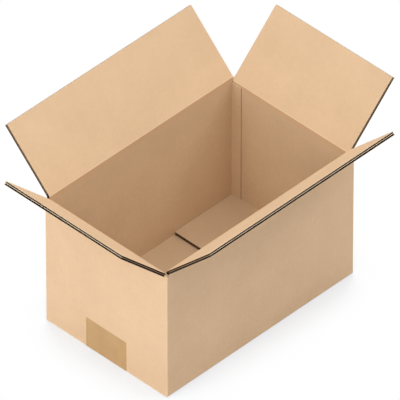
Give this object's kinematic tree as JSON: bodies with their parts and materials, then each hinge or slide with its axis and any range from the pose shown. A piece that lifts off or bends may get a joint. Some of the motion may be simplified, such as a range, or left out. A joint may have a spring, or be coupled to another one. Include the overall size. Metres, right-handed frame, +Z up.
{
  "type": "open cardboard box",
  "caption": "Open corrugated shipping box with hinged top flaps flared outward, an empty inside and a taped bottom seam.",
  "frame": {"origin": "centre of the resting face, under the tape", "axes": "+X along the length, from the left end to the right end; +Y along the width, from the front wall to the back wall; +Z up"},
  "size_m": [0.5172, 0.3816, 0.2938],
  "materials": {
    "kraft_board": "uncoated brown kraft liner",
    "kraft_fluted": "uncoated brown kraft liner over two layers of open flutes",
    "packing_tape": "brown packing tape, low sheen"
  },
  "bodies": {
    "box": {"box_body": "kraft_board", "seam_tape": "packing_tape"},
    "front_flap": {"front_flap": "kraft_fluted"},
    "back_flap": {"back_flap": "kraft_fluted"},
    "left_flap": {"left_flap": "kraft_fluted"},
    "right_flap": {"right_flap": "kraft_fluted"}
  },
  "joints": [
    {"name": "front_flap_hinge", "type": "hinge", "parent": "box", "child": "front_flap", "pos_m": [0, -0.1109, 0.2139], "axis": [1, 0, 0], "range_deg": [-135, 75]},
    {"name": "back_flap_hinge", "type": "hinge", "parent": "box", "child": "back_flap", "pos_m": [0, 0.1109, 0.2139], "axis": [-1, 0, 0], "range_deg": [-135, 75]},
    {"name": "left_flap_hinge", "type": "hinge", "parent": "box", "child": "left_flap", "pos_m": [-0.1749, 0, 0.2085], "axis": [0, -1, 0], "range_deg": [-135, 75]},
    {"name": "right_flap_hinge", "type": "hinge", "parent": "box", "child": "right_flap", "pos_m": [0.1749, 0, 0.2085], "axis": [0, 1, 0], "range_deg": [-135, 75]}
  ]
}
